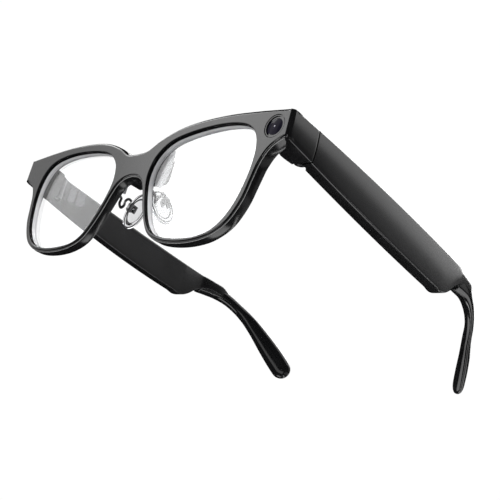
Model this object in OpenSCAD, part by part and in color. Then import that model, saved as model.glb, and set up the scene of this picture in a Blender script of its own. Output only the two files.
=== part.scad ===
// Smart glasses: a flat plastic front with two lenses, wire-arm nose pads, a camera in one end
// piece, and two hollow temples that hold the electronics and fold on three-knuckle hinges.
// x runs to the wearer's left, y runs back from the front face, z runs up. Left is the wearer's.

/* [Front] */
// Depth of the rims, front to back
rim_depth = 5; // [4.8:0.1:6]
// Distance from the front face to the lens
lens_set_back = 2; // [1.8:0.1:2.1]
// Thickness of the outer lens
lens_t = 1.3; // [1.1:0.1:1.4]
// Thickness of the display waveguide behind the lens
waveguide_t = 0.6; // [0.4:0.1:0.6]
// Radius of the camera window
camera_r = 3.6; // [3:0.1:3.8]

/* [Temples] */
// Thickness of a temple body
temple_t = 6; // [5.8:0.1:7]
// Wall of the temple shell
wall = 1.4; // [1.2:0.1:1.5]
// Width of the temple tip at its rounded end
tip_w = 10.4; // [9.6:0.2:10.8]
// Thickness of the temple tip
tip_t = 5; // [4.4:0.2:5.4]

/* [Hinges] */
// Radius of the hinge knuckles
knuckle_r = 2; // [1.8:0.1:2]
// Radius of the hinge pin
pin_r = 0.8; // [0.6:0.05:0.9]
// Gap between the end piece and the temple
seam = 0.3; // [0.2:0.05:0.4]

/* [Nose pads] */
// Length of a nose pad
pad_l = 15; // [13:0.5:15.5]
// Width of a nose pad
pad_w = 9.4; // [8:0.2:9.6]

/* [Hidden] */
$fn = 48;

// Points of one lens opening, anticlockwise seen from the front
OPENING = [
    [10.8, -14], [13.2, -21], [17.4, -29.2], [23, -34.1], [31.5, -36], [43, -36.1],
    [51.5, -33.6], [57.4, -27.1], [60.8, -17], [61.5, -8], [59.5, -1.4], [54.7, 2.4],
    [46.4, 4.2], [36, 4.4], [25, 3.3], [17.3, 1.1], [12.2, -3.4], [10.4, -9]
];
// Upper edge of the front, from the centre line out to the end piece
BROW = [[0, -0.7], [5.5, -0.1], [11.5, 3.3], [20.3, 6.4], [31, 7.9], [45, 8.1], [59, 7.1], [72.8, 5.7]];
// Lower edge of the front, from the end piece in to the centre line
JAW = [
    [73.9, -4.4], [71.2, -5.4], [67.5, -8], [65, -12.4], [63.6, -18], [61.8, -25], [57.6, -32],
    [51, -36.2], [43.3, -38], [34, -38.2], [25, -36.7], [18, -33], [12.4, -24.7], [8.8, -16.5],
    [6.6, -12.6], [3.6, -10.7], [0, -10.1]
];
// Centre line of a temple tip, from the temple body to the end, with its half width and half
// thickness there as shares of tip_w and tip_t
TAIL = [
    [72.9, 107, -9.7, 0.41, 0.56], [71.8, 113, -9.5, 0.395, 0.6], [70.5, 120, -10, 0.335, 0.57],
    [68.7, 126.5, -11.5, 0.295, 0.49], [66.6, 133, -14.1, 0.29, 0.42], [64.1, 138.7, -17.4, 0.325, 0.39],
    [61, 143.8, -21.8, 0.385, 0.41], [57.8, 149.5, -27.2, 0.455, 0.47],
    [54.5, 154.8, -32.6, 0.5, 0.51], [51.8, 158.9, -37, 0.5, 0.5]
];
// Centre line of a nose pad's wire arm, from the rim to the pad box
ARM = [
    [9.7, 5.2, -14.9], [9.9, 5.9, -15.4], [11, 6.5, -16.9], [10.4, 7.2, -18.4], [10, 8, -17.1],
    [11, 8.8, -14.9], [10.6, 9.6, -13.8], [10.2, 10.8, -14.2], [10.6, 11.6, -15.6]
];
curve_steps = 4;
outline_corner = [74, 5.4];

// Temple: outer face in plan, and the upper and lower edges of its side
temple_front = 13.3;
temple_rear = 107;
body_rear = 95;
cavity_front = 31.5;
inner_cover_t = 1.1;
function outer_x(y) = 74.26 + 0.0698 * y - 0.000492 * y * y;
function inner_x(y) = outer_x(y) - temple_t;
function top_z(y) = 5.3 - 0.1 * y;
function bottom_z(y) = -4.4 - 0.2262 * y + 0.000742 * y * y;

// Hinge
pin_x = 68.2;
pin_y = 14.3;
knuckle_z = [-6.4, -3.3, -0.2, 2.9];
knuckle_gap = 0.1;
leaf_x = 70.9;
leaf_t = 0.85;
front_leaf_x = 66.5;
front_leaf_y = 8.5;
screw_r = 0.6;
screw_head_r = 1.1;
end_piece_rear = temple_front - seam;
sweep_gap = 0.35;

// Hinge cover on the inside of the temple
cover_y0 = 18.6;
cover_y1 = 30;
cover_z = -1;
cover_h = 7;

// Camera: place of its axis, the slack round its ring, its barrel and its square board
camera_x = 67.5;
camera_z = 0;
ring_w = 0.3;
ring_slack = 0.05;
ring_seat = 0.8;
barrel_r = 3;
barrel_l = 3.9;
board_w = 6;
board_y = 4.85;
board_t = 1.35;

// Brow channel: its upper and lower edges below the brow, its depth, and its cover and ribbon
channel_top = 0.8;
channel_bottom = 2.1;
channel_depth = 1.7;
cover_t = 0.8;
ribbon_t = 0.3;

// Nose pad: place of its middle, and its turn
pad_pos = [8, 12.6, -17.8];
pad_turn = [11, -27, -16];
pad_t = 2.2;
screw_axis_x = 2.4;

// Speaker, and the slot below it
speaker_at = [72.1, 82, -16.2];
speaker_size = [2.9, 11, 8];
port_at = [72.7, 86, -21];
port_size = [1.6, 5, 3.85];

// Battery and circuit board
battery_at = [72.2, 57.5, -13.2];
battery_size = [3, 22, 8.8];
board_at = [73.7, 33, -9.2];
board_size = [0.8, 23, 5.6];
chip_size = [1.2, 5.5, 4];

// Pad box: its place out of the pad's back, its size, and the slot for the lug
box_x = 1.5;
box_size = [2.5, 2.8, 3];
slot_w = 1.4;
wire_r = 0.5;

// Capture button
button_y = 38;
button_l = 6;
button_w = 2.2;
button_top = 2.1;

// Lens groove
groove = 0.8;
groove_depth = 2.4;
lens_slack = 0.05;
lens_gap = 0.2;

lens_rear = lens_set_back + lens_slack + lens_t;

// Rear faces of the light engines and of the bridge housing
engine_rear = 7.4;
engine_wall = 0.6;
bridge_rear = 11.5;

// Where the glasses stand: half their depth, and the height of the front's zero line
middle_y = 81.68;
lift = 42.09;

// One point of a smooth curve between b and c
function blend(a, b, c, d, t) = 0.5 * (2 * b + (c - a) * t + (2 * a - 5 * b + 4 * c - d) * t * t
    + (3 * b - a - 3 * c + d) * t * t * t);
// A smooth closed curve through the points
function loop_curve(p) = [for (i = [0 : len(p) - 1]) for (k = [0 : curve_steps - 1])
    blend(p[(i + len(p) - 1) % len(p)], p[i], p[(i + 1) % len(p)], p[(i + 2) % len(p)], k / curve_steps)];
// A smooth curve through the points, from the first to the last
function open_curve(p) = [
    for (i = [0 : len(p) - 2]) for (k = [0 : curve_steps - 1])
        blend(i == 0 ? 2 * p[0] - p[1] : p[i - 1], p[i], p[i + 1],
            i == len(p) - 2 ? 2 * p[i + 1] - p[i] : p[i + 2], k / curve_steps),
    p[len(p) - 1]
];
// The same curve moved sideways by d, to the right of its direction
function shift_curve(c, d) = [for (i = [0 : len(c) - 1])
    let (a = c[max(i - 1, 0)], b = c[min(i + 1, len(c) - 1)], t = (b - a) / norm(b - a))
    c[i] + d * [t[1], -t[0]]];
// An anticlockwise loop grown outwards by d
function grow(c, d) = [for (i = [0 : len(c) - 1])
    let (a = c[(i + len(c) - 1) % len(c)], b = c[(i + 1) % len(c)], t = (b - a) / norm(b - a))
    c[i] + d * [t[1], -t[0]]];
// The place, without the sizes, of a point of TAIL
function place(p) = [p[0], p[1], p[2]];
function reversed(c) = [for (i = [len(c) - 1 : -1 : 0]) c[i]];
function mirrored(c) = [for (p = c) [-p[0], p[1]]];

// Puts a piece at its place on the table
module on_table() {
    translate([0, -middle_y, lift]) children();
}

// Turns a piece drawn for the left side over to the right side
module right() {
    mirror([1, 0, 0]) children();
}

// Extrudes a front-view outline (x, z) from y0 back to y1
module from_front(y0, y1) {
    translate([0, y1, 0]) rotate([90, 0, 0]) linear_extrude(y1 - y0) children();
}

// Extrudes a side-view outline (y, z) from x0 out to x1
module from_side(x0, x1) {
    translate([x0, 0, 0]) rotate([90, 0, 90]) linear_extrude(x1 - x0) children();
}

// A tube swept along points, with an oval section of the given half sizes. The section's
// thin side lies square to the path and to the direction ref.
module oval_sweep(path, half_w, half_t, sides, ref = [0, 0, 1]) {
    n = len(path);
    rings = [for (i = [0 : n - 1])
        let (a = path[max(i - 1, 0)], b = path[min(i + 1, n - 1)], t = (b - a) / norm(b - a),
            side = cross(t, ref), flat = side / norm(side), up = cross(flat, t))
        [for (k = [0 : sides - 1])
            path[i] + half_t[i] * cos(360 * k / sides) * flat + half_w[i] * sin(360 * k / sides) * up]];
    polyhedron(
        points = [for (r = rings) each r],
        faces = [
            [for (k = [sides - 1 : -1 : 0]) k],
            for (i = [0 : n - 2]) for (k = [0 : sides - 1])
                let (j = (k + 1) % sides, a = i * sides, b = a + sides)
                each [[a + k, b + j, b + k], [a + k, a + j, b + j]],
            [for (k = [0 : sides - 1]) (n - 1) * sides + k]
        ]
    );
}

// The front outline, both halves, anticlockwise from the middle of the brow
module front_outline() {
    half = concat(open_curve(BROW), [outline_corner], open_curve(JAW));
    polygon(concat(reversed(half), mirrored(half)));
}

module opening(grown) {
    polygon(grow(loop_curve(OPENING), grown));
}

// A strip that follows the brow, between two distances below it
module brow_strip(d0, d1) {
    edge = open_curve([for (i = [0 : len(BROW) - 2]) BROW[i]]);
    whole = concat(mirrored(reversed(edge)), [for (i = [1 : len(edge) - 1]) edge[i]]);
    polygon(concat(shift_curve(whole, d0), reversed(shift_curve(whole, d1))));
}

// ---- Front ----

// Plan of an end piece: it wraps back from the front to the hinge seam
module end_piece() {
    intersection() {
        translate([0, 0, -20]) linear_extrude(40)
            polygon(concat([[64.6, 3], [72, 0.4], [74, 0.4]],
                [for (y = [2 : 2.2 : end_piece_rear]) [outer_x(y), y]],
                [[outer_x(end_piece_rear), end_piece_rear], [65.6, end_piece_rear]]));
        from_side(60, 80) polygon([
            [0, top_z(0)], [end_piece_rear, top_z(end_piece_rear)],
            [end_piece_rear, bottom_z(end_piece_rear)], [7, -7.2], [3, -5.8], [0, -4.6]
        ]);
    }
}

// Space swept by the knuckles round a hinge pin
module knuckle_space() {
    translate([pin_x, pin_y, -15]) cylinder(r = knuckle_r + sweep_gap, h = 30);
}

// Recess for the front hinge leaf, open towards the seam
module hinge_recess() {
    translate([front_leaf_x - 0.2, front_leaf_y - 0.2, knuckle_z[0] - 0.4])
        cube([leaf_x - front_leaf_x - 0.2, 6, knuckle_z[3] - knuckle_z[0] + 0.6]);
}

module front_shell() {
    color([0.13, 0.13, 0.14]) difference() {
        union() {
            from_front(0, rim_depth) front_outline();
            end_piece();
            right() end_piece();
        }
        for (m = [0, 1]) mirror([m, 0, 0]) {
            from_front(-1, rim_depth + 1) opening(0);
            from_front(lens_set_back, lens_set_back + groove_depth) opening(groove);
            knuckle_space();
            hinge_recess();
            hinge_screws(0.02);
            arm_root(0.02);
        }
        from_front(rim_depth - channel_depth, rim_depth + 0.5) brow_strip(channel_top, channel_bottom);
        camera_bore(-1, ring_seat, camera_r + ring_w + ring_slack);
        camera_bore(0, board_y + 1, barrel_r + 0.05);
        from_front(board_y - 0.15, board_y + 2.75)
            translate([camera_x, camera_z]) square(board_w + 0.2, center = true);
    }
}

module brow_cover() {
    color([0.1, 0.1, 0.11]) from_front(rim_depth - cover_t, rim_depth)
        brow_strip(channel_top + 0.05, channel_bottom - 0.05);
}

module brow_ribbon() {
    y0 = rim_depth - channel_depth + 0.3;
    color([0.75, 0.5, 0.2]) from_front(y0, y0 + ribbon_t)
        brow_strip(channel_top + 0.2, channel_bottom - 0.2);
}

// Hollow cover behind the bridge, open at the front where it meets the bridge
module bridge_housing() {
    half = [[0, -1.5], [5, -0.9], [8.6, 0.6], [9.3, 0], [9.3, -8], [8, -9.4], [0, -9.2]];
    color([0.1, 0.1, 0.11]) difference() {
        from_front(rim_depth, bridge_rear) polygon(concat(reversed(half), mirrored(half)));
        from_front(rim_depth - 1, bridge_rear - 1.1) translate([-8.2, -8.2]) square([16.4, 5.9]);
    }
}

// Light engine that stands behind the nose side of a lens
module projector() {
    color([0.16, 0.16, 0.17]) difference() {
        from_front(rim_depth, engine_rear) polygon([
            [9.5, 0.9], [11.2, 2.2], [13.2, 1.8], [14, -0.5], [13.8, -5.5], [12.9, -9.8],
            [11.5, -12.6], [10.4, -12.8]
        ]);
        from_front(rim_depth + engine_wall, engine_rear - engine_wall)
            translate([10.7, -10]) square([2, 9]);
    }
}

module lens() {
    color([0.85, 0.88, 0.9, 0.35])
        from_front(lens_set_back + lens_slack, lens_rear) opening(groove - lens_slack);
}

module waveguide() {
    y0 = lens_rear + lens_gap;
    color([0.8, 0.86, 0.9, 0.3]) from_front(y0, y0 + waveguide_t) opening(groove - 0.3);
}

// ---- Camera ----

// Round space on the camera's axis, from y0 back to y1
module camera_bore(y0, y1, r) {
    translate([camera_x, y0, camera_z]) rotate([-90, 0, 0]) cylinder(r = r, h = y1 - y0);
}

module camera_ring() {
    color([0.05, 0.05, 0.06]) difference() {
        camera_bore(0.15, ring_seat, camera_r + ring_w);
        camera_bore(-1, 2, camera_r);
    }
}

module camera_window() {
    color([0.06, 0.06, 0.1]) camera_bore(0.2, ring_seat, camera_r - 0.02);
}

module camera_barrel() {
    color([0.08, 0.08, 0.09]) difference() {
        camera_bore(ring_seat + 0.05, ring_seat + 0.05 + barrel_l, barrel_r);
        camera_bore(0, ring_seat + 2, 1.4);
    }
}

module camera_board() {
    color([0.1, 0.35, 0.2]) from_front(board_y, board_y + board_t)
        translate([camera_x, camera_z]) square(board_w, center = true);
}

// ---- Hinge, front half ----

module hinge_front() {
    color("silver") difference() {
        union() {
            translate([front_leaf_x, front_leaf_y, knuckle_z[0]]) cube([
                leaf_x - 0.6 - front_leaf_x, pin_y - knuckle_r - sweep_gap - front_leaf_y,
                knuckle_z[3] - knuckle_z[0]
            ]);
            for (z = [[knuckle_z[0], knuckle_z[1]], [knuckle_z[2], knuckle_z[3]]]) {
                translate([pin_x, pin_y, z[0]]) cylinder(r = knuckle_r, h = z[1] - z[0]);
                translate([front_leaf_x, 11, z[0]]) cube([3.4, pin_y - 11, z[1] - z[0]]);
            }
        }
        translate([pin_x, pin_y, -15]) cylinder(r = pin_r, h = 30);
        hinge_screws(0.02);
    }
}

// Two screws that hold the front leaf in the end piece
module hinge_screws(slack) {
    color("silver") for (z = [-5, 1.5]) translate([pin_x, 9.9, z]) rotate([90, 0, 0]) {
        cylinder(r = screw_r + slack, h = 3.4);
        translate([0, 0, -1.2]) cylinder(r = screw_head_r + slack, h = 0.8);
        translate([0, 0, -0.5]) cylinder(r = screw_r + slack, h = 1);
    }
}

module hinge_pin() {
    color("gainsboro") translate([pin_x, pin_y, 0]) {
        translate([0, 0, knuckle_z[0] - 0.2]) cylinder(r = pin_r, h = knuckle_z[3] - knuckle_z[0] + 0.2);
        translate([0, 0, knuckle_z[3]]) cylinder(r = 1.5, h = 0.5);
    }
}

// ---- Nose pads ----

// Puts a piece at a nose pad, with x out of its back, y across it and z along it
module at_pad() {
    translate(pad_pos) rotate(pad_turn) children();
}

// Straight end of the arm, set into the back of the rim
module arm_root(slack) {
    translate([ARM[0][0], ARM[0][1] - 1.2, ARM[0][2]]) rotate([-90, 0, 0])
        cylinder(r = wire_r + slack, h = 1.4);
}

module pad_arm() {
    path = open_curve(ARM);
    r = [for (p = path) wire_r];
    color([0.1, 0.1, 0.1]) {
        arm_root(0);
        oval_sweep(path, r, r, 10, [1, 0, 0]);
        at_pad() difference() {
            translate([box_x, -box_size[1] / 2, -box_size[2] / 2]) cube(box_size);
            translate([box_x - 0.5, -slot_w / 2, -2]) cube([2.5, slot_w, 4]);
            translate([screw_axis_x, 0, 0]) rotate([90, 0, 0]) cylinder(r = 0.4, h = 6, center = true);
        }
    }
}

module pad_screw() {
    color("silver") at_pad() translate([screw_axis_x, 0, 0]) rotate([90, 0, 0]) {
        cylinder(r = 0.4, h = box_size[1], center = true);
        translate([0, 0, box_size[1] / 2]) cylinder(r = 0.8, h = 0.4);
    }
}

// Oval silicone pad with the round lug that the pad screw passes through
module nose_pad() {
    oval = [for (a = [0 : 10 : 350]) [pad_w / 2 * cos(a), pad_l / 2 * sin(a)]];
    color([0.9, 0.93, 0.95, 0.5]) at_pad() {
        translate([-pad_t / 2, 0, 0]) rotate([90, 0, 90]) linear_extrude(pad_t - 0.3) polygon(oval);
        difference() {
            union() {
                translate([screw_axis_x, 0, 0]) rotate([90, 0, 0]) cylinder(r = 0.8, h = 1, center = true);
                translate([0.5, -0.5, -0.6]) cube([1.5, 1, 1.2]);
            }
            translate([screw_axis_x, 0, 0]) rotate([90, 0, 0]) cylinder(r = 0.45, h = 3, center = true);
        }
    }
}

// ---- Temple ----

// Part of the temple between two depths from its inner face, cut to a side-view outline
module temple_slab(d0, d1) {
    ys = [10 : 4.85 : 107.1];
    intersection() {
        translate([0, 0, -40]) linear_extrude(60) polygon(concat(
            [for (y = ys) [inner_x(y) + d1, y]],
            reversed([for (y = ys) [inner_x(y) + d0, y]])));
        from_side(60, 85) children();
    }
}

// Side-view outline of the temple body, inset by m, from y0 back to y1
module side_outline(m, y0, y1) {
    polygon(concat(
        [for (i = [0 : 12]) let (y = y0 + (y1 - y0) * i / 12) [y, bottom_z(y) + m]],
        [for (i = [12 : -1 : 0]) let (y = y0 + (y1 - y0) * i / 12) [y, top_z(y) - m]]));
}

// The whole side view, with the step up to the tip
module temple_side() {
    polygon(concat(
        [for (y = [temple_front : 6.4 : 91]) [y, bottom_z(y)]],
        [[94.5, -19.1], [98, -18.3], [101.5, -16.4], [104.5, -14.6], [temple_rear, -13.9]],
        [[temple_rear, top_z(temple_rear)], [temple_front, top_z(temple_front)]]));
}

// Round-ended outline of the hinge cover
module cover_outline(m) {
    translate([cover_y0 - m, cover_z - cover_h / 2 - m])
        square([cover_y1 - cover_h / 2 - cover_y0 + m, cover_h + 2 * m]);
    translate([cover_y1 - cover_h / 2, cover_z]) circle(r = cover_h / 2 + m);
}

module temple_shell(with_button) {
    color([0.13, 0.13, 0.14]) difference() {
        temple_slab(0, temple_t) temple_side();
        temple_slab(-1, temple_t - wall) side_outline(wall, cavity_front, body_rear);
        knuckle_space();
        from_side(60, leaf_x + leaf_t + 0.05) cover_outline(0.05);
        translate([60, 12, knuckle_z[1]])
            cube([leaf_x + leaf_t + 0.05 - 60, 8, knuckle_z[2] - knuckle_z[1]]);
        leaf_screws(0.02);
        tip_core(0.03);
        speaker_port(0.02);
        if (with_button) button_slot();
    }
}

module inner_cover(with_contacts) {
    color([0.12, 0.12, 0.13]) difference() {
        temple_slab(0, inner_cover_t) side_outline(wall + 0.05, cavity_front + 0.05, body_rear - 0.05);
        if (with_contacts) charging_contacts(0.03);
    }
}

// Rear hinge leaf: a knuckle, a tongue into the temple and a plate for its screws
module hinge_rear() {
    z0 = knuckle_z[1] + knuckle_gap;
    z1 = knuckle_z[2] - knuckle_gap;
    color("silver") difference() {
        union() {
            translate([pin_x, pin_y, z0]) cylinder(r = knuckle_r, h = z1 - z0);
            translate([69.4, pin_y, z0]) cube([leaf_x + leaf_t - 69.4, 4, z1 - z0]);
            translate([leaf_x, pin_y, z0]) cube([leaf_t, 5.5, z1 - z0]);
            translate([leaf_x, cover_y0 + 0.2, -4.1]) cube([leaf_t, 9.3, 6.2]);
        }
        translate([pin_x, pin_y, -15]) cylinder(r = pin_r + 0.06, h = 30);
        leaf_screws(0.02);
    }
}

// Two screws that hold the rear leaf to the temple
module leaf_screws(slack) {
    color("silver") for (p = [[21.5, -3], [26, 1]]) translate([leaf_x, p[0], p[1] - 0.4]) rotate([0, 90, 0]) {
        translate([0, 0, -0.1]) cylinder(r = screw_r + slack, h = 3.3);
        translate([0, 0, -0.35]) cylinder(r = 1 + slack, h = 0.6);
    }
}

module hinge_cover() {
    color([0.16, 0.16, 0.17]) temple_slab(0, 0.45) cover_outline(0);
}

module battery() {
    color([0.45, 0.5, 0.55]) translate(battery_at) cube(battery_size);
}

module circuit_board() {
    color([0.1, 0.35, 0.2]) {
        translate(board_at) cube(board_size);
        for (k = [0 : 2]) translate(board_at + [-chip_size[0], 1.5 + 7 * k, 0.8]) cube(chip_size);
    }
}

module speaker() {
    color([0.3, 0.3, 0.32]) difference() {
        translate(speaker_at) cube(speaker_size);
        translate(speaker_at + [-1.1, 2, 1.8]) cube([2.4, 7, 4.4]);
    }
}

// Slot in the underside of the temple, below the speaker
module speaker_port(slack) {
    translate(port_at - [slack, slack, 0]) cube(port_size + [2 * slack, 2 * slack, slack]);
}

module speaker_grille() {
    color([0.25, 0.25, 0.26]) difference() {
        intersection() {
            speaker_port(0);
            temple_slab(0, temple_t) side_outline(0.15, 80, body_rear);
        }
        for (k = [0 : 2]) translate(port_at + [0.3, 0.8 + 1.4 * k, -4]) cube([1, 0.6, 10]);
    }
}

// Spring steel core that runs from the temple body into the tip
module tip_core(slack) {
    run = [[73.4, 97, -10.6], [73.1, 102, -10]];
    path = concat(run, [for (i = [0 : 6]) place(TAIL[i])]);
    color("silver") oval_sweep(path, [for (p = path) 1.1 + slack], [for (p = path) 0.55 + slack], 10);
}

// Flat oval tip that bends down and inwards to a rounded end
module temple_tip() {
    curve = open_curve(TAIL);
    path = [for (p = curve) place(p)];
    widths = [for (p = curve) p[3] * tip_w];
    thicks = [for (p = curve) p[4] * tip_t];
    n = len(path) - 1;
    way = (path[n] - path[n - 1]) / norm(path[n] - path[n - 1]);
    cap = [30, 55, 75, 88];
    color([0.1, 0.1, 0.1]) difference() {
        oval_sweep(
            concat(path, [for (a = cap) path[n] + way * widths[n] * sin(a)]),
            concat(widths, [for (a = cap) widths[n] * cos(a)]),
            concat(thicks, [for (a = cap) thicks[n] * cos(a)]), 20);
        tip_core(0.03);
        translate([60, temple_rear - 10, -25]) cube([20, 10, 30]);
    }
}

// ---- Capture button and charging contacts, right temple ----

// Round-ended prism along y, centred on the button
module button_bar(l, w, z0, z1) {
    translate([outer_x(button_y) - temple_t / 2, button_y, z0]) {
        for (e = [-1, 1]) translate([0, e * (l - w) / 2, 0]) cylinder(r = w / 2, h = z1 - z0);
        translate([-w / 2, -(l - w) / 2, 0]) cube([w, l - w, z1 - z0]);
    }
}

module button_slot() {
    button_bar(button_l + 0.4, button_w + 0.4, -1, 8);
}

module capture_button() {
    color([0.2, 0.2, 0.21]) {
        button_bar(button_l, button_w, -1.1, button_top);
        button_bar(button_l + 1.6, button_w + 0.3, -1.1, -0.45);
    }
}

module button_switch() {
    color("silver") translate([outer_x(button_y) - temple_t / 2 - 1, button_y - 1.5, -3.55])
        cube([2.4, 3, 2]);
}

module charging_contacts(slack) {
    color("gold") for (y = [64, 68, 72])
        translate([inner_x(y) + 0.05 - slack, y, -11.5]) rotate([0, 90, 0])
            cylinder(r = 0.9 + slack, h = 1.05 + slack);
}

on_table() front_shell();
on_table() brow_cover();
on_table() brow_ribbon();
on_table() bridge_housing();
on_table() projector();  // left_projector
on_table() right() projector();  // right_projector
on_table() lens();  // left_lens
on_table() right() lens();  // right_lens
on_table() waveguide();  // left_waveguide
on_table() right() waveguide();  // right_waveguide
on_table() camera_ring();
on_table() camera_window();
on_table() camera_barrel();
on_table() camera_board();
on_table() hinge_front();  // left_hinge_front
on_table() right() hinge_front();  // right_hinge_front
on_table() hinge_screws(0);  // left_hinge_screws
on_table() right() hinge_screws(0);  // right_hinge_screws
on_table() hinge_pin();  // left_hinge_pin
on_table() right() hinge_pin();  // right_hinge_pin
on_table() pad_arm();  // left_pad_arm
on_table() right() pad_arm();  // right_pad_arm
on_table() pad_screw();  // left_pad_screw
on_table() right() pad_screw();  // right_pad_screw
on_table() nose_pad();  // left_nose_pad
on_table() right() nose_pad();  // right_nose_pad
on_table() temple_shell(false);  // left_temple_shell
on_table() right() temple_shell(true);  // right_temple_shell
on_table() inner_cover(false);  // left_inner_cover
on_table() right() inner_cover(true);  // right_inner_cover
on_table() hinge_rear();  // left_hinge_rear
on_table() right() hinge_rear();  // right_hinge_rear
on_table() leaf_screws(0);  // left_leaf_screws
on_table() right() leaf_screws(0);  // right_leaf_screws
on_table() hinge_cover();  // left_hinge_cover
on_table() right() hinge_cover();  // right_hinge_cover
on_table() battery();  // left_battery
on_table() right() battery();  // right_battery
on_table() circuit_board();  // left_circuit_board
on_table() right() circuit_board();  // right_circuit_board
on_table() speaker();  // left_speaker
on_table() right() speaker();  // right_speaker
on_table() speaker_grille();  // left_speaker_grille
on_table() right() speaker_grille();  // right_speaker_grille
on_table() tip_core(0);  // left_tip_core
on_table() right() tip_core(0);  // right_tip_core
on_table() temple_tip();  // left_temple_tip
on_table() right() temple_tip();  // right_temple_tip
on_table() right() capture_button();
on_table() right() button_switch();
on_table() right() charging_contacts(0);
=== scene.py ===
import math

import bmesh
import bpy
from mathutils import Matrix, Vector

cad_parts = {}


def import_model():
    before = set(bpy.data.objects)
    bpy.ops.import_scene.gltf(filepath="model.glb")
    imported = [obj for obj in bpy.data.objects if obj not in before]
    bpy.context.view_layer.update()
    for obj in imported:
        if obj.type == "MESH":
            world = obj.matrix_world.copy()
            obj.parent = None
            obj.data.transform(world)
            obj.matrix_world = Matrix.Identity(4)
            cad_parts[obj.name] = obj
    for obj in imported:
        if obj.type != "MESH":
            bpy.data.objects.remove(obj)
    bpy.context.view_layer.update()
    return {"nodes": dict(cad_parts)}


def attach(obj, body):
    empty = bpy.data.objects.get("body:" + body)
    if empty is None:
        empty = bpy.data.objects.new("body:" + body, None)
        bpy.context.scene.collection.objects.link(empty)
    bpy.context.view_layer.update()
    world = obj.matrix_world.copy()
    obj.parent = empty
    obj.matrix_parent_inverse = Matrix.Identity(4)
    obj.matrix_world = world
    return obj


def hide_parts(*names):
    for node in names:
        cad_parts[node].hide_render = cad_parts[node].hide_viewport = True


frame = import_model()

# ---- The glasses' own millimetre frame: x to the wearer's left, y back from the front face, z up ----

MIDDLE_Y, LIFT = 81.68, 42.09


def world(x, y, z):
    return Vector((x, y - MIDDLE_Y, z + LIFT)) / 1000


def glasses_mm(p):
    return p.x * 1000, p.y * 1000 + MIDDLE_Y, p.z * 1000 - LIFT


def spline(a, b, c, d, t):
    return 0.5 * (2 * b + (c - a) * t + (2 * a - 5 * b + 4 * c - d) * t * t
                  + (3 * b - a - 3 * c + d) * t ** 3)


def closed_curve(points, steps):
    p = [Vector(q) for q in points]
    n = len(p)
    return [spline(p[i - 1], p[i], p[(i + 1) % n], p[(i + 2) % n], k / steps)
            for i in range(n) for k in range(steps)]


def open_curve(points, steps):
    p = [Vector(q) for q in points]
    p = [2 * p[0] - p[1]] + p + [2 * p[-1] - p[-2]]
    out = [spline(p[i - 1], p[i], p[i + 1], p[i + 2], k / steps)
           for i in range(1, len(p) - 2) for k in range(steps)]
    return out + [p[-2]]


def along(table, y):
    """Value at y on a smooth curve through the (y, value) pairs of table."""
    if y <= table[0][0]:
        return table[0][1]
    for i in range(len(table) - 1):
        (y0, v0), (y1, v1) = table[i], table[i + 1]
        if y <= y1:
            before = table[i - 1][1] if i else 2 * v0 - v1
            after = table[i + 2][1] if i + 2 < len(table) else 2 * v1 - v0
            return spline(before, v0, v1, after, (y - y0) / (y1 - y0))
    return table[-1][1]


def grown(loop, d):
    """An anticlockwise loop moved outwards by d."""
    out = []
    for i, p in enumerate(loop):
        t = (loop[(i + 1) % len(loop)] - loop[i - 1]).normalized()
        out.append(p + d * Vector((t.y, -t.x)))
    return out


# ---- Mesh helpers ----

SHARP_BOX, SHARP_CAD = 32, 40  # edges sharper than this, in degrees, are rounded


def piece(name, bm):
    bmesh.ops.recalc_face_normals(bm, faces=bm.faces)
    mesh = bpy.data.meshes.new(name)
    bm.to_mesh(mesh)
    bm.free()
    obj = bpy.data.objects.new(name, mesh)
    bpy.context.scene.collection.objects.link(obj)
    return obj


def band(bm, a, b):
    """Faces between two rings, either of which may be a single point."""
    n = max(len(a), len(b))
    for i in range(n):
        j = (i + 1) % n
        if len(a) == 1:
            bm.faces.new((a[0], b[j], b[i]))
        elif len(b) == 1:
            bm.faces.new((a[i], a[j], b[0]))
        else:
            bm.faces.new((a[i], a[j], b[j], b[i]))


def skin(name, rings):
    """A closed surface lofted through rings of the same number of points."""
    bm = bmesh.new()
    made = [[bm.verts.new(p) for p in ring] for ring in rings]
    for a, b in zip(made, made[1:]):
        band(bm, a, b)
    bm.faces.new(made[0])
    bm.faces.new(made[-1])
    return piece(name, bm)


def prism(outline, axis, lo, hi):
    """A solid with this outline, from lo to hi along x, y or z. Helper for the boolean steps."""
    place = {"x": lambda a, b, h: world(h, a, b), "y": lambda a, b, h: world(a, h, b),
             "z": lambda a, b, h: world(a, b, h)}[axis]
    return skin("helper", [[place(p[0], p[1], h) for p in outline] for h in (lo, hi)])


def settle(obj):
    """Turns the modifiers into plain mesh."""
    view = bpy.context.evaluated_depsgraph_get()
    obj.data = bpy.data.meshes.new_from_object(obj.evaluated_get(view))
    obj.modifiers.clear()


def combine(obj, other, how):
    m = obj.modifiers.new("combine", "BOOLEAN")
    m.operation, m.object, m.solver = how, other, "EXACT"
    settle(obj)
    bpy.data.objects.remove(other)
    return obj


def cut(obj, other):
    return combine(obj, other, "DIFFERENCE")


def common(obj, other):
    return combine(obj, other, "INTERSECT")


def circle(x, z, r, steps=48):
    return [(x + r * math.cos(2 * math.pi * k / steps), z + r * math.sin(2 * math.pi * k / steps))
            for k in range(steps)]


def rounded(obj, width, segments):
    """Rounds the sharp edges and shades the rest smooth."""
    smooth(obj)
    m = obj.modifiers.new("rounded", "BEVEL")
    m.width, m.segments = width / 1000, segments
    m.limit_method, m.angle_limit = "ANGLE", math.radians(SHARP_BOX)
    m.harden_normals = True
    m.use_clamp_overlap = False


def smooth(obj):
    for f in obj.data.polygons:
        f.use_smooth = True
    return obj


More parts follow.
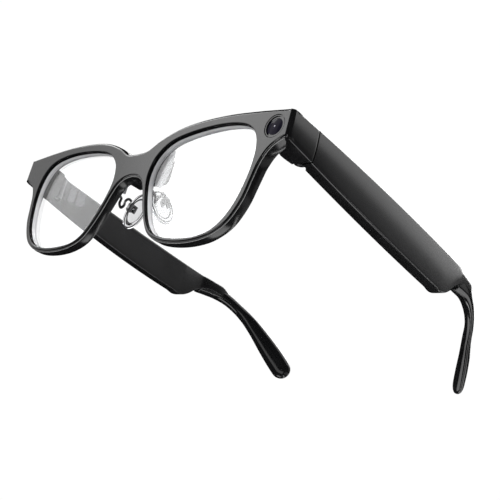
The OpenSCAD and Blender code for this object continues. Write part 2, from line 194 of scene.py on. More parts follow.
def mirrored_copy(obj):
    """The same piece for the wearer's right side."""
    mesh = obj.data.copy()
    mesh.transform(Matrix.Scale(-1, 4, (1, 0, 0)))
    mesh.flip_normals()
    twin = bpy.data.objects.new(obj.name, mesh)
    bpy.context.scene.collection.objects.link(twin)
    return twin


# ---- Materials ----

NOISE_LO, NOISE_HI = 0.3, 0.7  # most of the noise lies between these


def noise(nodes, links, scale, detail=2.0, stretch=(1, 1, 1)):
    where = nodes.new("ShaderNodeTexCoord")
    turn = nodes.new("ShaderNodeMapping")
    turn.inputs["Scale"].default_value = stretch
    tex = nodes.new("ShaderNodeTexNoise")
    tex.inputs["Scale"].default_value = scale
    tex.inputs["Detail"].default_value = detail
    links.new(where.outputs["Object"], turn.inputs["Vector"])
    links.new(turn.outputs["Vector"], tex.inputs["Vector"])
    return tex.outputs["Fac"]


def spread(nodes, links, fac, lo, hi, into):
    span = nodes.new("ShaderNodeMapRange")
    span.inputs["From Min"].default_value, span.inputs["From Max"].default_value = NOISE_LO, NOISE_HI
    span.inputs["To Min"].default_value, span.inputs["To Max"].default_value = lo, hi
    links.new(fac, span.inputs["Value"])
    links.new(span.outputs["Result"], into)


def material(name, light, dark, rough, patch=60, grain=4000, relief=0.04, stretch=(1, 1, 1), **fixed):
    """A surface whose colour and roughness wander a little, with a fine grain in its relief."""
    mat = bpy.data.materials.new(name)
    mat.use_nodes = True
    nodes, links = mat.node_tree.nodes, mat.node_tree.links
    shader = nodes["Principled BSDF"]
    clouds = noise(nodes, links, patch, 3.0, stretch)
    ramp = nodes.new("ShaderNodeValToRGB")
    low, high = ramp.color_ramp.elements
    low.position, low.color = NOISE_LO, (*dark, 1)
    high.position, high.color = NOISE_HI, (*light, 1)
    links.new(clouds, ramp.inputs["Fac"])
    links.new(ramp.outputs["Color"], shader.inputs["Base Color"])
    spread(nodes, links, noise(nodes, links, patch * 10, 4.0, stretch), rough[0], rough[1],
           shader.inputs["Roughness"])
    if relief:
        bump = nodes.new("ShaderNodeBump")
        bump.inputs["Strength"].default_value = relief
        bump.inputs["Distance"].default_value = 0.0001
        links.new(noise(nodes, links, grain, 2.0, stretch), bump.inputs["Height"])
        links.new(bump.outputs["Normal"], shader.inputs["Normal"])
    for key, value in fixed.items():
        shader.inputs[key.replace("_", " ")].default_value = value
    return mat


def rimmed(mat):
    """Clear material that looks denser where the sight line runs along its surface."""
    nodes, links = mat.node_tree.nodes, mat.node_tree.links
    shader = nodes["Principled BSDF"]
    colour = shader.inputs["Base Color"].links[0].from_socket
    facing = nodes.new("ShaderNodeLayerWeight")
    facing.inputs["Blend"].default_value = 0.4
    dense = nodes.new("ShaderNodeMix")
    dense.data_type = "RGBA"
    links.new(facing.outputs["Facing"], dense.inputs["Factor"])
    links.new(colour, dense.inputs[6])
    dense.inputs[7].default_value = (0.03, 0.03, 0.03, 1)
    links.new(dense.outputs[2], shader.inputs["Base Color"])
    return mat


def make_plastics():
    black = (0.002, 0.002, 0.0022)
    glossy = (0.005, 0.005, 0.0055)
    return {
        "front": material("moulded_gloss_black", glossy, black, (0.19, 0.21), relief=0.01),
        "temple": material("moulded_satin_black", glossy, black, (0.2, 0.22), relief=0.01),
        "matt": material("matt_black", (0.002, 0.002, 0.002), (0.001, 0.001, 0.001), (0.8, 0.95),
                         relief=0.2, Specular_IOR_Level=0.05),
        # edge: light grey painted highlight line for the ledge of the low rims, standing in for a
        # reflection of the light
        "edge": material("painted_highlight_line", (0.2, 0.2, 0.2), (0.16, 0.16, 0.16), (0.3, 0.4)),
        "cover": material("fine_grain_black", (0.006, 0.006, 0.0065), black, (0.2, 0.23), relief=0.015),
        "tip": material("acetate_black", (0.004, 0.004, 0.0045), black, (0.1, 0.15), relief=0.02),
        "trim": material("camera_trim", (0.012, 0.012, 0.013), black, (0.12, 0.2)),
        "engine": material("engine_shell", (0.28, 0.28, 0.29), (0.22, 0.22, 0.23), (0.35, 0.45),
                           relief=0.2),
        "silicone": rimmed(material("clear_silicone", (0.9, 0.9, 0.91), (0.84, 0.85, 0.86), (0.03, 0.06),
                                    relief=0.02, grain=3000, Transmission_Weight=1.0, IOR=1.2)),
        # silicone_edge: dark tone painted on the pad's steep bands, painted shade standing in for the dark
        # edges of a clear pad
        "silicone_edge": material("silicone_painted_dark_edge", (0.03, 0.03, 0.032), (0.015, 0.015, 0.016),
                                  (0.12, 0.2), relief=0.06, grain=3000, IOR=1.41),
    }


def make_glasses():
    return {
        "glass": material("clear_lens", (1, 1, 1), (0.985, 0.99, 0.995), (0.0, 0.006), relief=0,
                          Transmission_Weight=1.0, IOR=1.33),
        "guide": material("display_glass", (1, 1, 1), (0.98, 0.99, 0.99), (0.0, 0.006), relief=0,
                          Transmission_Weight=1.0, IOR=1.25),
        # light grey for the ground lens edges, also painted on the rim walls behind the lenses as the light
        # band of the lens's reflection
        "frost_and_painted_veil": material("frosted_edge_and_painted_veil", (0.4, 0.4, 0.41), (0.34, 0.34, 0.35), (0.5, 0.6), relief=0.1),
        "window": material("camera_glass", (0.006, 0.005, 0.012), (0.002, 0.002, 0.004), (0.05, 0.09),
                           relief=0, Specular_IOR_Level=0.03),
        "eye": material("coated_lens", (0.03, 0.02, 0.06), (0.01, 0.01, 0.02), (0.04, 0.07),
                        relief=0, IOR=2.2),
    }


def make_metals():
    along_z = (1, 1, 8)
    return {
        "hinge": material("blackened_steel", (0.07, 0.07, 0.075), (0.04, 0.04, 0.043), (0.25, 0.4),
                          stretch=along_z, relief=0.15, Metallic=0.9),
        "wire": material("black_nickel_wire", (0.03, 0.03, 0.032), (0.015, 0.015, 0.016), (0.2, 0.3),
                         grain=9000, Metallic=0.4),
        "steel": material("brushed_steel", (0.62, 0.62, 0.63), (0.45, 0.45, 0.46), (0.22, 0.38),
                          stretch=along_z, relief=0.15, Metallic=1.0),
        "speaker": material("speaker_can", (0.12, 0.12, 0.13), (0.07, 0.07, 0.08), (0.35, 0.5),
                            Metallic=0.5),
        "mesh": material("grille_mesh", (0.05, 0.05, 0.055), (0.012, 0.012, 0.014), (0.35, 0.55),
                         patch=900, relief=0.5, Metallic=0.8),
        "gold": material("contact_gold", (0.95, 0.68, 0.3), (0.8, 0.55, 0.22), (0.15, 0.3), Metallic=1.0),
    }


def make_electronics():
    return {
        "board": material("solder_mask", (0.02, 0.16, 0.07), (0.01, 0.09, 0.04), (0.3, 0.5), patch=400,
                          relief=0.3),
        "ribbon": material("flex_film", (0.62, 0.33, 0.08), (0.45, 0.22, 0.05), (0.3, 0.4),
                           stretch=(1, 6, 6)),
        "foil": material("battery_wrap", (0.3, 0.34, 0.38), (0.2, 0.23, 0.27), (0.3, 0.45), relief=0.2),
    }


mats = {**make_plastics(), **make_glasses(), **make_metals(), **make_electronics()}


def clothe(obj, mat):
    obj.data.materials.clear()
    obj.data.materials.append(mats[mat])


def dress_node(node, mat, edge):
    """A carried-over CAD node gets its material and finely rounded edges."""
    obj = frame["nodes"][node]
    for s in obj.material_slots:
        s.link = "OBJECT"
        s.material = mats[mat]
    if edge:
        m = obj.modifiers.new("flat", "DECIMATE")
        m.decimate_type, m.angle_limit = "DISSOLVE", math.radians(1)
        m = obj.modifiers.new("rounded", "BEVEL")
        m.width, m.segments = edge / 1000, 2
        m.limit_method, m.angle_limit = "ANGLE", math.radians(SHARP_CAD)
        m.harden_normals = True


# ---- Front ----

OPENING = [
    (10.8, -14), (13.2, -21), (17.4, -29.2), (23, -34.1), (31.5, -36), (43, -36.1),
    (51.5, -33.6), (57.4, -27.1), (60.8, -17), (61.5, -8), (59.5, -1.4), (54.7, 2.4),
    (46.4, 4.2), (36, 4.4), (25, 3.3), (17.3, 1.1), (12.2, -3.4), (10.4, -9),
]
BROW = [(0, -0.7), (5.5, -0.1), (11.5, 3.3), (20.3, 6.4), (31, 7.9), (45, 8.1), (59, 7.1), (72.8, 5.6)]
JAW = [
    (74.26, -4.5), (71.2, -5.4), (67.5, -8), (65, -12.4), (63.6, -18), (61.8, -25), (57.6, -32),
    (51, -36.2), (43.3, -38), (34, -38.2), (25, -36.7), (18, -33), (12.4, -24.7), (8.8, -16.5),
    (6.6, -12.6), (3.6, -10.7), (0, -10.1),
]
RIM_DEPTH = 5.0
SEAM_Y = 13.0
LENS_Y, GUIDE_Y = (2.05, 3.35), (3.55, 4.15)  # front and rear face of each clear plate
CAMERA = (67.5, 0.0)
CORNER = 73.0  # where the slanted corner starts on the front face
END_INNER_X = 65.4  # inner side of the end pieces
PIN_X, PIN_Y, PIN_CLEAR = 68.2, 14.3, 2.35  # hinge pin and the space round its knuckles

# Wall profiles of the front, as (inset, depth): a soft bevel on top, a stepped edge below
TOP_EDGE = [
    (1.1, 0), (0.98, 0.015), (0.85, 0.05), (0.7, 0.11), (0.5, 0.2), (0.38, 0.26), (0.28, 0.33),
    (0.18, 0.45), (0.08, 0.65), (0, 1), (0, 2.6), (0, 4.4), (0.15, 4.8), (0.45, 5),
]
LOW_EDGE = [
    (1.1, 0), (1.04, 0.015), (0.99, 0.06), (0.95, 0.3), (0.91, 0.55), (0.85, 0.62), (0.75, 0.64),
    (0.45, 0.66), (0.33, 0.7), (0.22, 0.85), (0, 2.4), (0, 4.4), (0.15, 4.8), (0.45, 5),
]
HOLE_EDGE = [
    (0.5, 0), (0.4, 0.02), (0.32, 0.06), (0.08, 0.3), (0.02, 0.4), (0, 0.5), (0, 1.6), (0, 2.6),
    (0, 3.4), (0, 4.4), (0.1, 4.9), (0.35, 5),
]


def outer_x(y):
    return 74.26 + 0.0698 * y - 0.000492 * y * y


def top_z(y):
    return 5.35 - 0.1 * y


def bottom_z(y):
    return -4.4 - 0.2262 * y + 0.000742 * y * y


def front_outline():
    """Outline of the front, and for each point 0 on the brow or 1 on the lower edge."""
    brow, jaw = open_curve(BROW, 8) + [Vector((outer_x(0), top_z(0)))], open_curve(JAW, 8)
    half = brow + jaw
    low = [0] * len(brow) + [1] * len(jaw)
    return half[::-1] + [Vector((-p.x, p.y)) for p in half[1:-1]], low[::-1] + low[1:-1]


def blended(profiles, weight):
    """Profile between two profiles of the same number of (inset, y) points."""
    return [(a + (c - a) * weight, b + (d - b) * weight) for (a, b), (c, d) in zip(*profiles)]


def plate(name, outline, holes, weights):
    """Flat plate whose walls follow profiles of (inset, y) from the front face to the rear face."""
    bm = bmesh.new()
    front_rim, rear_rim = [], []
    loops = [(outline, (TOP_EDGE, LOW_EDGE), weights, -1)]
    loops += [(hole, (HOLE_EDGE, HOLE_EDGE), [0] * len(hole), 1) for hole in holes]
    for loop, profiles, shares, side in loops:
        walls = [blended(profiles, weight) for weight in shares]
        out = [a - b for a, b in zip(grown(loop, 1), loop)]
        rings = []
        for k in range(len(walls[0])):
            ring = []
            for p, way, wall in zip(loop, out, walls):
                q = p + way * side * wall[k][0]
                ring.append(bm.verts.new(world(q.x, wall[k][1], q.y)))
            rings.append(ring)
        for one, two in zip(rings, rings[1:]):
            band(bm, one, two)
        for rim, ring in ((front_rim, rings[0]), (rear_rim, rings[-1])):
            rim += [bm.edges.get((ring[i], ring[(i + 1) % len(ring)])) for i in range(len(ring))]
    for rim in (front_rim, rear_rim):
        bmesh.ops.triangle_fill(bm, use_beauty=True, use_dissolve=False, edges=rim)
    return piece(name, bm)


def matt_at(obj, y, depth=0.02):
    """The faces at this depth, or a little in front of it, are left matt, as where two parts meet."""
    obj.data.materials.append(mats["matt"])
    for f in obj.data.polygons:
        if y - depth < glasses_mm(f.center)[1] < y + 0.02:
            f.material_index = len(obj.data.materials) - 1


def line_holes(obj, hole):
    """Walls round the lenses: matt in front, behind that a painted light grey band that stands in for the
    lens's reflection. Low rims: a painted highlight line on the ledge.
    """
    wall_y, painted_veil_y, ledge_y, low_z = (0.4, 4.2), 1.6, (0.555, 0.86), -3
    first = len(obj.data.materials)
    for name in ("matt", "frost_and_painted_veil", "edge"):
        obj.data.materials.append(mats[name])
    for f in obj.data.polygons:
        x, y, z = glasses_mm(f.center)
        wall = abs(f.normal.y) < 0.5 and wall_y[0] < y < wall_y[1]
        if wall and min((Vector((abs(x), z)) - p).length for p in hole) < 1:
            # behind painted_veil_y the wall gets the painted light band of the lens's reflection
            f.material_index = first + (1 if y > painted_veil_y else 0)
        elif ledge_y[0] < y < ledge_y[1] and z < low_z and abs(f.normal.y) < 0.9:
            # the ledge gets the painted highlight line
            f.material_index = first + 2


def creased(obj, angle=28):
    """Smooth shading with sharp edges; faces square to the y axis stay quite flat."""
    smooth(obj)
    obj.data.set_sharp_from_angle(angle=math.radians(angle))
    for f in obj.data.polygons:
        if abs(f.normal.y) > 0.99999:
            f.use_smooth = False
    return obj


def hinge_room(side):
    """The space round the hinge knuckles, to be cut from the end piece and the temple."""
    return prism(circle(side * PIN_X, PIN_Y, PIN_CLEAR), "z", -15, 15)


def end_piece(side, word):
    """Block behind a corner of the front, back to the hinge seam."""
    rings = []
    for y in [0.45, 0.8, 1.35, 1.7, 2.4, 3.2, 4.4, 5.6, 7, 8.4, 9.8, 11.2, 12.2, 12.72, SEAM_Y]:
        close = 0.08 if y == SEAM_Y else 0
        out, inn, hi = min(outer_x(y), CORNER + y) - close, END_INNER_X + close, top_z(y) - close
        lo = along([(0, -4.5), (SEAM_Y, bottom_z(SEAM_Y))], y) + close
        low_in = along([(0, -4.5), (3, -5.7), (7, -7.2), (SEAM_Y, -7.3)], y) + close
        ring = []
        crown = 0.22
        for k in range(1, 8):
            s = k / 8
            ring.append((out - crown * (2 * s - 1) ** 2, lo + 0.7 + (hi - lo - 1.05) * s))
        for cx, cz, a0, r in ((out - crown - 0.35, hi - 0.35, 0, 0.35), (inn + 0.4, hi - 0.4, 90, 0.4),
                              (inn + 2.2, low_in + 2.2, 180, 2.2), (out - crown - 0.7, lo + 0.7, 270, 0.7)):
            for k in range(6):
                a = math.radians(a0 + 18 * k)
                ring.append((cx + r * math.cos(a), cz + r * math.sin(a)))
        rings.append([world(side * x, y, z) for x, z in ring])
    block = skin(word + "_end_piece", rings)
    cut(block, hinge_room(side))
    return creased(block, 40)


def brow_channel():
    edge = open_curve(BROW[:-1], 6)
    whole = [Vector((-p.x, p.y)) for p in edge[:0:-1]] + edge
    last = len(whole) - 1
    way = [(whole[min(i + 1, last)] - whole[max(i - 1, 0)]).normalized() for i in range(last + 1)]
    strip = [[p + d * Vector((t.y, -t.x)) for p, t in zip(whole, way)] for d in (0.8, 2.1)]
    return prism(strip[0] + strip[1][::-1], "y", RIM_DEPTH - 1.7, RIM_DEPTH + 0.5)


def share(value, start, length):
    """0 up to start, rising to 1 over this length."""
    return min(1, max(0, (value - start) / length))


def make_front():
    hole = closed_curve(OPENING, 8)
    twin = [Vector((-p.x, p.y)) for p in reversed(hole)]
    outline, weights = front_outline()
    front = plate("front_moulding", outline, [hole, twin], weights)
    cut(front, brow_channel())
    x, z = CAMERA
    recess = [(0, -0.5), (4.2, -0.5), (4.15, 1.3), (0, 1.3)]
    cut(front, lathe("helper", recess, x, z))
    for v in front.data.vertices:  # slanted corners, and rims that get thinner towards the bottom
        x, y, z = glasses_mm(v.co)
        x = math.copysign(min(abs(x), CORNER + y), x)
        if z > 0:
            z -= 0.1 * y * share(abs(x), 60, 8)
        v.co = world(x, y * (1 - 0.15 * share(-z, 4, 18)), z)
    creased(front)
    ends = [end_piece(1, "left"), end_piece(-1, "right")]
    for obj in [front] + ends:
        clothe(obj, "front")
        matt_at(obj, SEAM_Y, 0.3)
        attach(obj, "front")
    line_holes(front, hole)
    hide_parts("front_shell")


def make_glass(side, word, part, mat, near, far):
    """A flat clear plate in the rim; its ground edge is matt and light grey, and with the rim wall behind
    it makes a painted light band that stands in for the lens's reflection.
    """
    loop = grown(closed_curve(OPENING, 8), -0.08)
    rings = [[world(side * p.x, y, p.y) for p in grown(loop, -inset)]
             for y, inset in ((near, 0.12), (near + 0.1, 0), (far - 0.1, 0), (far, 0.12))]
    glass = skin(word + "_" + part + "_glass", rings)
    clothe(glass, mat)
    glass.data.materials.append(mats["frost_and_painted_veil"])
    for f in glass.data.polygons:
        # edge faces: ground, light grey, part of the painted light band round the rim
        if abs(f.normal.y) < 0.9:
            f.material_index = 1
    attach(glass, "front")
    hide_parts(word + "_" + part)
    glass.visible_shadow = False  # clear glass lets the studio light through


# ---- Temples ----

TEMPLE_START, TEMPLE_END = 13.3, 124
TEMPLE_T = 6  # thickness of a temple body
TEMPLE_RISE = 0.2  # how far its top stands above that of the end piece
BEND_Y = 91  # where the lower edge starts to rise


def inner_x(y):
    return outer_x(y) - TEMPLE_T


def crest_z(y):
    return top_z(y) + TEMPLE_RISE


# How the outlines go on behind the simple curves, as (y, value)
LOWER = [
    (BEND_Y, bottom_z(BEND_Y)), (94.5, -19.5), (98, -18.8), (101.5, -16.7), (104.5, -13.9), (108, -12),
    (111.6, -11.1), (115.5, -10.9), (119, -11.2), (121.5, -11.5), (TEMPLE_END, -11.6),
]
UPPER = [
    (107, crest_z(107)), (112, crest_z(112)), (117, top_z(117) + 0.18), (120.5, -6.62),
    (TEMPLE_END, -8.3),
]
OUTER_REAR = [
    (95, outer_x(95)), (101, outer_x(101)), (107, 76), (111, 75.4), (116, 74.5), (120, 73.6),
    (TEMPLE_END, 71.7),
]
INNER_REAR = [
    (95, inner_x(95)), (101, inner_x(101)), (107, 70), (111, 69), (116, 68.1), (120, 67.5),
    (TEMPLE_END, 67.2),
]


def carried_on(curve, table, y):
    """The curve's value up to the start of the table, and the table's behind that."""
    return curve(y) if y <= table[0][0] else along(table, y)


def temple_section(y):
    """Rounded section of a temple at y, crowned on its outer face."""
    out, inn = carried_on(outer_x, OUTER_REAR, y), carried_on(inner_x, INNER_REAR, y)
    lo, hi = carried_on(bottom_z, LOWER, y), carried_on(crest_z, UPPER, y)
    r = min(0.9, (hi - lo) / 3)
    crown = 0.32
    ring = []
    steps = 5
    for k in range(13):
        s = k / 12
        ring.append((out - crown * (2 * s - 1) ** 2, lo + r + (hi - lo - 1.4 * r) * s))
    tight, mid = r * 0.4, r * 0.7
    corners = [(out - crown - tight, hi - tight, 0, tight), (inn + mid, hi - mid, 90, mid),
               (inn + mid, lo + mid, 180, mid), (out - crown - r, lo + r, 270, r)]
    for i, (cx, cz, a0, rr) in enumerate(corners):
        for k in range(1 if i == 0 else 0, steps + (0 if i == 3 else 1)):
            a = math.radians(a0 + 90 * k / steps)
            ring.append((cx + rr * math.cos(a), cz + rr * math.sin(a)))
    return [world(x, y, z) for x, z in ring]


def closing(ring, d):
    """The ring drawn in towards its middle by d."""
    middle = sum(ring, Vector()) / len(ring)
    return [p + (middle - p).normalized() * d / 1000 for p in ring]


def temple_cavity():
    """Space for the battery, board and speaker, open on the inner side."""
    start, end, wall = 31.5, 95, 1.4
    ys = [start + (end - start) * k / 12 for k in range(13)]
    plan = [(inner_x(y) - 1, y) for y in ys]
    plan += [(outer_x(y) - wall, y) for y in reversed(ys)]
    profile = [(y, bottom_z(y) + wall) for y in ys] + [(y, top_z(y) - wall - 0.05) for y in reversed(ys)]
    return common(prism(plan, "z", -40, 20), prism(profile, "x", 60, 85))


def make_temple(side, word):
    stations = [TEMPLE_START + (BEND_Y - TEMPLE_START) * k / 20 for k in range(21)]
    stations += [BEND_Y + (TEMPLE_END - BEND_Y) * k / 33 for k in range(1, 34)]
    rings = [temple_section(y) for y in stations]
    rings.append(closing(rings[-1], 0.2))
    temple = skin("helper", rings)
    cut(temple, temple_cavity())
    cut(temple, hinge_room(1))
    creased(temple, 40)
    if side < 0:
        twin = mirrored_copy(temple)
        bpy.data.objects.remove(temple)
        temple = twin
    temple.name = word + "_temple_body"
    clothe(temple, "temple")
    matt_at(temple, TEMPLE_START)
    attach(temple, word + "_temple")
    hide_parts(word + "_temple_shell")


# ---- Temple tips ----

TAIL = [  # centre line, half width and half thickness
    (72.9, 107, -9.7, 4.25, 2.8), (71.8, 113, -9.5, 4.1, 3.0), (70.5, 120, -10, 3.5, 2.85),
    (68.7, 126.5, -11.5, 3.05, 2.45), (66.6, 133, -14.1, 3.0, 2.1), (64.1, 138.7, -17.4, 3.4, 1.95),
    (61, 143.8, -21.8, 4.0, 2.05), (57.8, 149.5, -27.2, 4.75, 2.35), (54.5, 154.8, -32.6, 5.2, 2.55),
    (51.8, 158.9, -37, 5.2, 2.5),
]


def make_tip(side, word):
    path = [(Vector(p[:3]), p[3], p[4]) for p in open_curve(TAIL, 6)]
    end, half_w, half_t = path[-1]
    way = (end - path[-2][0]).normalized()
    for a in (12, 24, 36, 48, 58, 68, 77, 85):
        c, d = math.cos(math.radians(a)), math.sin(math.radians(a))
        path.append((end + way * half_w * d, half_w * c, half_t * c ** 0.8))
    rings = []
    for i, (p, half_w, half_t) in enumerate(path):
        t = (path[min(i + 1, len(path) - 1)][0] - path[max(i - 1, 0)][0]).normalized()
        flat = t.cross(Vector((0, 0, 1))).normalized()
        up = flat.cross(t)
        ring = []
        for k in range(40):
            a = 2 * math.pi * k / 40
            c, d = math.cos(a), math.sin(a)
            q = p + half_t * math.copysign(abs(c) ** 0.8, c) * flat
            q += half_w * math.copysign(abs(d) ** 0.9, d) * up
            ring.append(world(side * q.x, q.y, q.z))
        rings.append(ring)
    tip = smooth(skin(word + "_tip_cover", rings))
    clothe(tip, "tip")
    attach(tip, word + "_temple")
    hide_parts(word + "_temple_tip")


# ---- Nose pads ----

PAD_POS, PAD_TURN = (8, 12.6, -17.8), (11, -27, -16)
PAD_HALF_W, PAD_HALF_L = 4.7, 7.5
WIRE_R = 0.5
ARM = [
    (9.7, 4.2, -14.9), (9.7, 5.2, -14.9), (9.9, 5.9, -15.4), (11, 6.5, -16.9), (10.4, 7.2, -18.4),
    (10, 8, -17.1), (11, 8.8, -14.9), (10.6, 9.6, -13.8), (10.2, 10.8, -14.2), (10.6, 11.6, -15.6),
]


def pad_frame():
    ax, ay, az = (math.radians(a) for a in PAD_TURN)
    return Matrix.Rotation(az, 3, "Z") @ Matrix.Rotation(ay, 3, "Y") @ Matrix.Rotation(ax, 3, "X")


def at_pad(side, x, y, z):
    p = pad_frame() @ Vector((x, y, z)) + Vector(PAD_POS)
    return world(side * p.x, p.y, p.z)


PAD_PROFILE = [  # share of the half size, and depth, from the middle of one face to the other
    (0.0, -1.1), (0.4, -1.1), (0.75, -1.02), (0.88, -0.86), (0.95, -0.68), (0.975, -0.56),
    (0.995, -0.3), (1.0, 0.0), (0.99, 0.28), (0.96, 0.48), (0.93, 0.6), (0.88, 0.68), (0.82, 0.68),
    (0.76, 0.58), (0.72, 0.46), (0.68, 0.36), (0.64, 0.3), (0.3, 0.26), (0.0, 0.26),
]
PAD_DARK_BANDS = (4, 5, 9, 10, 14, 15)  # bands of the profile painted dark, as painted shade for the dark edges a clear pad shows against the light


def make_pad(side, word):
    """Oval pad: a thick soft edge round a thinner middle."""
    bm = bmesh.new()
    count = 48
    turns = [2 * math.pi * k / count for k in range(count)]
    rings = []
    for r, x in PAD_PROFILE:
        if r == 0:
            rings.append([bm.verts.new(at_pad(side, x, 0, 0))])
        else:
            half_w, half_l = PAD_HALF_W * r, PAD_HALF_L * r
            rings.append([bm.verts.new(at_pad(side, x, half_w * math.cos(a), half_l * math.sin(a)))
                          for a in turns])
    for a, b in zip(rings, rings[1:]):
        band(bm, a, b)
    pad = smooth(piece(word + "_pad_silicone", bm))
    clothe(pad, "silicone")
    pad.data.materials.append(mats["silicone_edge"])
    for i, f in enumerate(pad.data.polygons):
        # the steep bands get the painted dark edge shade
        if i // count in PAD_DARK_BANDS:
            f.material_index = 1
    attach(pad, word + "_pad")
    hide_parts(word + "_nose_pad")


def box_at_pad(name, side, lo, hi):
    bm = bmesh.new()
    v = [bm.verts.new(at_pad(side, x, y, z)) for x in (lo[0], hi[0]) for y in (lo[1], hi[1])
         for z in (lo[2], hi[2])]
    for f in ((0, 1, 3, 2), (4, 6, 7, 5), (0, 4, 5, 1), (2, 3, 7, 6), (0, 2, 6, 4), (1, 5, 7, 3)):
        bm.faces.new([v[i] for i in f])
    return piece(name, bm)


def make_arm(side, word):
    path = open_curve(ARM, 8)
    rings = []
    for i, p in enumerate(path):
        t = (path[min(i + 1, len(path) - 1)] - path[max(i - 1, 0)]).normalized()
        flat = t.cross(Vector((1, 0, 0))).normalized()
        up = flat.cross(t)
        ring = [p + WIRE_R * (math.cos(a) * flat + math.sin(a) * up)
                for a in (2 * math.pi * k / 16 for k in range(16))]
        rings.append([world(side * q.x, q.y, q.z) for q in ring])
    arm = smooth(skin(word + "_pad_wire", rings))
    clothe(arm, "wire")
    box = box_at_pad(word + "_pad_box", side, (1.5, -1.4, -1.5), (4, 1.4, 1.5))
    cut(box, box_at_pad("helper", side, (1, -0.7, -2), (3.5, 0.7, 2)))
    rounded(box, 0.2, 2)
    clothe(box, "wire")
    for obj in (arm, box):
        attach(obj, "front")
    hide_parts(word + "_pad_arm")


# ---- Camera ----

def lathe(name, profile, x, z, steps=64):
    """Round piece about an axis along y at (x, z); profile is (radius, y) from the middle outwards."""
    bm = bmesh.new()
    rings = []
    for r, y in profile:
        if r == 0:
            rings.append([bm.verts.new(world(x, y, z))])
        else:
            rings.append([bm.verts.new(world(a, y, b)) for a, b in circle(x, z, r, steps)])
    for a, b in zip(rings, rings[1:]):
        band(bm, a, b)
    return smooth(piece(name, bm))


def make_camera():
    x, z = CAMERA
    dome = [(0, 0.16), (0.6, 0.17), (1.2, 0.2), (1.8, 0.26), (2.4, 0.34), (2.9, 0.43), (3.2, 0.5),
            (3.4, 0.58), (3.52, 0.68), (3.56, 0.8), (0, 0.8)]
    window = lathe("camera_pane", dome, x, z)
    clothe(window, "window")
    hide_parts("camera_window")
    bead = [(0, 0.05), (0.15, 0.06), (0.3, 0.09), (0.42, 0.14), (0.5, 0.2), (0.5, 0.6), (0, 0.6)]
    eye = lathe("camera_eye", bead, x, z, 48)
    clothe(eye, "eye")
    for obj in (window, eye):
        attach(obj, "front")


# ---- CAD nodes that stay ----

PAIRED_NODES = (  # name, material, width of the rounded edges
    ("projector", "engine", 0.4), ("hinge_front", "hinge", 0.12), ("hinge_screws", "steel", 0.06),
    ("hinge_pin", "steel", 0.1), ("pad_screw", "steel", 0.06), ("inner_cover", "cover", 0.15),
    ("hinge_rear", "hinge", 0.12), ("leaf_screws", "steel", 0.06), ("hinge_cover", "speaker", 0.1),
    ("battery", "foil", 0.4), ("circuit_board", "board", 0.1), ("speaker", "speaker", 0.3),
    ("speaker_grille", "mesh", 0.08), ("tip_core", "steel", 0),
)
SINGLE_NODES = (
    ("brow_cover", "cover", 0), ("brow_ribbon", "ribbon", 0), ("bridge_housing", "cover", 0.35),
    ("camera_ring", "front", 0.05), ("camera_barrel", "trim", 0.1), ("camera_board", "trim", 0.1),
    ("capture_button", "temple", 0.2), ("button_switch", "steel", 0.1),
    ("charging_contacts", "gold", 0.15),
)


def dress_nodes():
    for node, mat, edge in SINGLE_NODES:
        dress_node(node, mat, edge)
    for word in ("left", "right"):
        for part, mat, edge in PAIRED_NODES:
            dress_node(word + "_" + part, mat, edge)


# ---- Studio ----

EYE = (243.471, -163.399, -117.925)  # where the camera stands, in the glasses' frame
AHEAD = Vector((-0.69157497, 0.65524529, 0.30393694))
ACROSS = Vector((0.72121577, 0.64951953, 0.24077414))
FOCAL_MM, SENSOR_MM = 61.16, 36
SEEN_GLOW, MIRRORED_GLOW = 1.02, 0.015  # the surround, seen directly or lighting, and as mirrored


def add_camera():
    """Below and to the wearer's left of the front, looking up and back across it."""
    cam = bpy.data.objects.new("camera", bpy.data.cameras.new("camera"))
    bpy.context.scene.collection.objects.link(cam)
    cam.data.lens, cam.data.sensor_width = FOCAL_MM, SENSOR_MM
    cam.data.clip_start, cam.data.clip_end = 0.01, 20
    turn = Matrix((ACROSS, ACROSS.cross(AHEAD), -AHEAD)).transposed()
    cam.matrix_world = Matrix.Translation(world(*EYE)) @ turn.to_4x4()
    bpy.context.scene.camera = cam


def softbox(name, way, far, width, height, glow, roll=0, aim=(0, -0.05, 0.03)):
    """A soft area light of this radiance, at a distance along a direction from the glasses."""
    data = bpy.data.lights.new(name, "AREA")
    data.shape, data.size, data.size_y = "RECTANGLE", width, height
    data.energy = glow * math.pi * width * height
    obj = bpy.data.objects.new(name, data)
    obj.location = Vector(aim) + Vector(way).normalized() * far
    turn = Vector(way).to_track_quat("Z", "Y") @ Matrix.Rotation(math.radians(roll), 3, "Z").to_quaternion()
    obj.rotation_euler = turn.to_euler()
    obj.visible_camera = False
    bpy.context.scene.collection.objects.link(obj)


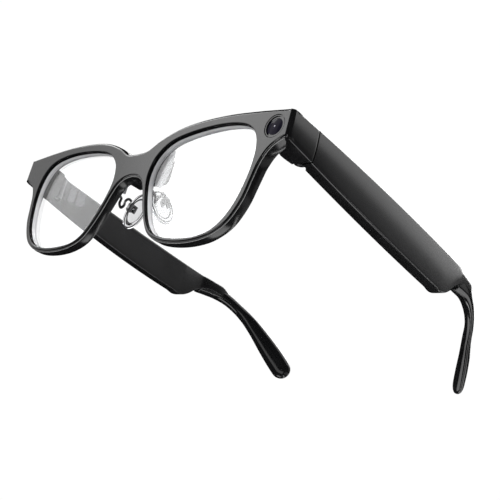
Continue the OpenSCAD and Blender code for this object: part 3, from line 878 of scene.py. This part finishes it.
def add_studio():
    scene = bpy.context.scene
    scene.view_settings.view_transform = "Standard"
    backdrop = bpy.data.worlds.new("studio")
    scene.world = backdrop
    backdrop.use_nodes = True
    nodes, links = backdrop.node_tree.nodes, backdrop.node_tree.links
    rays = nodes.new("ShaderNodeLightPath")
    seen, lit = nodes.new("ShaderNodeMath"), nodes.new("ShaderNodeMath")
    seen.operation = lit.operation = "MAXIMUM"
    links.new(rays.outputs["Is Camera Ray"], seen.inputs[0])
    links.new(rays.outputs["Is Transmission Ray"], seen.inputs[1])
    links.new(seen.outputs["Value"], lit.inputs[0])
    links.new(rays.outputs["Is Diffuse Ray"], lit.inputs[1])
    level = nodes.new("ShaderNodeMapRange")
    level.inputs["To Min"].default_value = MIRRORED_GLOW
    level.inputs["To Max"].default_value = SEEN_GLOW
    links.new(lit.outputs["Value"], level.inputs["Value"])
    links.new(level.outputs["Result"], nodes["Background"].inputs["Strength"])
    nodes["Background"].inputs["Color"].default_value = (1, 1, 1, 1)

    softbox("front_box", (-0.72, -0.58, 0.4), 1.0, 1.2, 0.8, 1.05)
    softbox("camera_side_box", (-0.6, -0.66, 0.44), 1.0, 0.4, 0.6, 2.0)
    softbox("side_box", (0.48, 0.62, 0.63), 1.0, 0.8, 0.6, 1.4, roll=-30)
    softbox("side_fill", (0.54, 0.73, 0.3), 1.1, 0.8, 0.7, 0.3)
    softbox("brow_strip", (-0.69, -0.35, 0.63), 0.8, 0.3, 0.12, 6.0)
    softbox("top_strip", (-0.74, 0.36, 0.56), 0.8, 0.4, 0.12, 3.0)
    softbox("glint", (-0.2, -0.85, 0.5), 0.8, 0.1, 0.1, 8.0)
    softbox("back_box", (-0.07, 0.76, 0.65), 0.8, 0.6, 0.5, 9.0)
    softbox("back_panel", (-0.1, 0.95, 0.3), 0.9, 0.3, 0.2, 3.0)
    softbox("chamfer_strip", (0.38, 0.72, -0.58), 0.4, 0.4, 0.04, 4.0)
    softbox("under_card", (0, 0, -1), 0.2, 0.14, 0.14, 2.6, aim=(0.05, 0.06, 0))
    softbox("low_front_box", (-0.35, -0.9, -0.24), 0.7, 0.8, 0.2, 1.2)
    softbox("low_right_box", (0.9, -0.35, -0.24), 0.7, 0.6, 0.2, 1.2)
    softbox("low_side_box", (0.75, 0.6, -0.24), 0.7, 0.6, 0.2, 0.4)
    softbox("low_back_box", (0.1, 0.96, -0.24), 0.7, 0.6, 0.2, 1.2)

    half, floor_z = 1.5, -0.25
    bm = bmesh.new()
    for x, y in ((-half, -half), (half, -half), (half, half), (-half, half)):
        bm.verts.new((x, y, floor_z))
    bm.faces.new(bm.verts)
    floor = piece("floor", bm)
    pale = material("pale_floor", (0.86, 0.86, 0.86), (0.83, 0.83, 0.83), (0.7, 0.8), patch=3, grain=300)
    floor.data.materials.append(pale)
    floor.visible_glossy = False


add_camera()
add_studio()
make_front()
for one, label in ((1, "left"), (-1, "right")):
    make_glass(one, label, "lens", "glass", *LENS_Y)
    make_glass(one, label, "waveguide", "guide", *GUIDE_Y)
    make_temple(one, label)
    make_tip(one, label)
    make_pad(one, label)
    make_arm(one, label)
make_camera()
dress_nodes()

bpy.context.view_layer.update()
